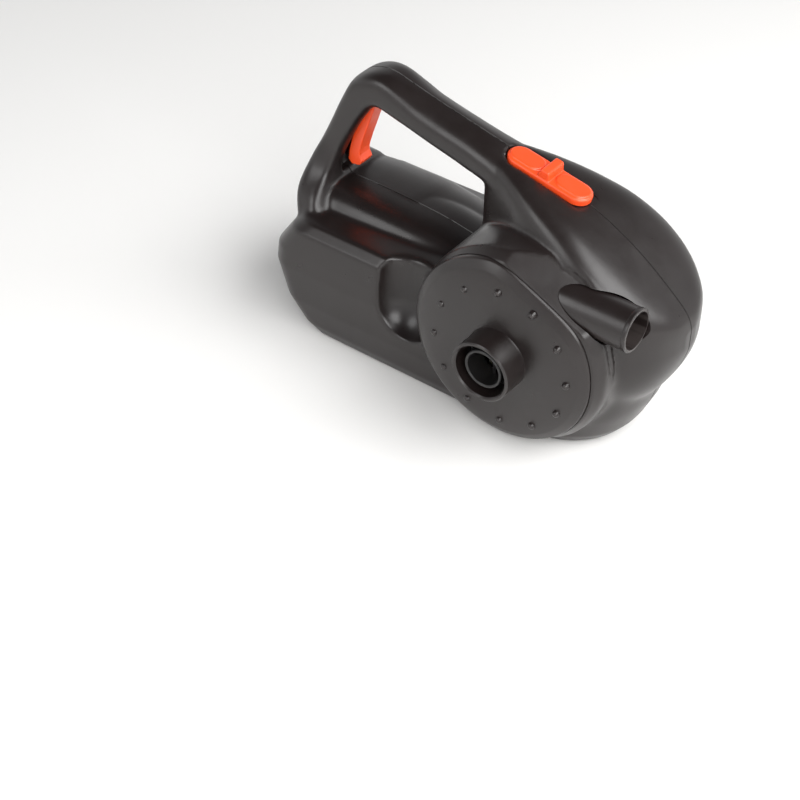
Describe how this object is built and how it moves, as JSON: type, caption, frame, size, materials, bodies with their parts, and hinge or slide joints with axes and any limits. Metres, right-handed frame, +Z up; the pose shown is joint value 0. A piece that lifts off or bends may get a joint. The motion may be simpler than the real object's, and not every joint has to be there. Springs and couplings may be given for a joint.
{
  "type": "electric air mattress pump",
  "caption": "Rechargeable hand-held electric air pump with a loop handle, a side fan drum with an intake collar, a forward outlet tube, a slide switch and a trigger.",
  "frame": {"origin": "middle of the bounding box at the level of the feet", "axes": "+X along the length towards the nose and the outlet mouth, -Y towards the fan cover and intake collar, +Z up"},
  "size_m": [0.229, 0.117, 0.1515],
  "materials": {
    "moulded_charcoal": "satin",
    "black_plastic": "matt",
    "orange_plastic": "satin",
    "zinc_plate": "satin",
    "steel": "polished",
    "bronze": "satin",
    "brass": "satin",
    "rubber": "matt",
    "foam": "matt",
    "battery_case": "satin",
    "white_nylon": "satin",
    "circuit_board": "satin",
    "red_lens": "polished",
    "wire_red": "satin"
  },
  "bodies": {
    "casing": {"shell_near": "moulded_charcoal", "shell_far": "moulded_charcoal", "volute_housing": "moulded_charcoal", "outlet_guard": "black_plastic", "fan_cover": "moulded_charcoal", "cover_gasket": "rubber", "intake_collar": "moulded_charcoal", "intake_guard": "black_plastic", "motor_can": "zinc_plate", "motor_magnet_upper": "black_plastic", "motor_magnet_lower": "black_plastic", "motor_bush_front": "bronze", "motor_bush_rear": "bronze", "motor_terminal_negative": "brass", "motor_terminal_positive": "brass", "motor_end_cap": "black_plastic", "motor_screw_1": "steel", "motor_screw_2": "steel", "battery": "battery_case", "battery_tab_negative": "brass", "battery_tab_positive": "brass", "battery_clamp": "black_plastic", "battery_pad": "foam", "circuit_board": "circuit_board", "charge_socket": "black_plastic", "charge_led": "red_lens", "slide_switch_body": "black_plastic", "trigger_pin": "steel", "trigger_spring": "steel", "trigger_switch": "black_plastic", "wire_battery_switch": "wire_red", "wire_switch_motor": "wire_red", "wire_charge": "wire_red", "casing_screw_rear": "steel", "casing_screw_bottom": "steel", "casing_screw_front": "steel", "casing_screw_nose": "steel", "casing_screw_hood": "steel", "casing_screw_handle": "steel", "foot_rear_near": "rubber", "foot_rear_far": "rubber", "foot_front_near": "rubber", "foot_front_far": "rubber"},
    "slide_knob": {"slide_switch_knob": "orange_plastic"},
    "trigger": {"trigger": "orange_plastic"},
    "rotor": {"impeller": "white_nylon", "impeller_nut": "brass", "motor_shaft": "steel", "motor_armature": "steel", "motor_commutator": "brass"}
  },
  "joints": [
    {"name": "switch_slide", "type": "slide", "parent": "casing", "child": "slide_knob", "axis": [0.9781, 0, -0.2079], "range_m": [0, 0.004]},
    {"name": "trigger_squeeze", "type": "hinge", "parent": "casing", "child": "trigger", "pos_m": [-0.077, 0.0125, 0.137], "axis": [0, 1, 0], "range_deg": [0, 8], "stiffness_Nm_per_rad": 0.1, "springref_deg": -17.19, "deforming": ["trigger_spring"]},
    {"name": "fan_spin", "type": "hinge", "parent": "casing", "child": "rotor", "pos_m": [0.0415, 0.0125, 0.057], "axis": [0, 1, 0], "continuous": true}
  ]
}
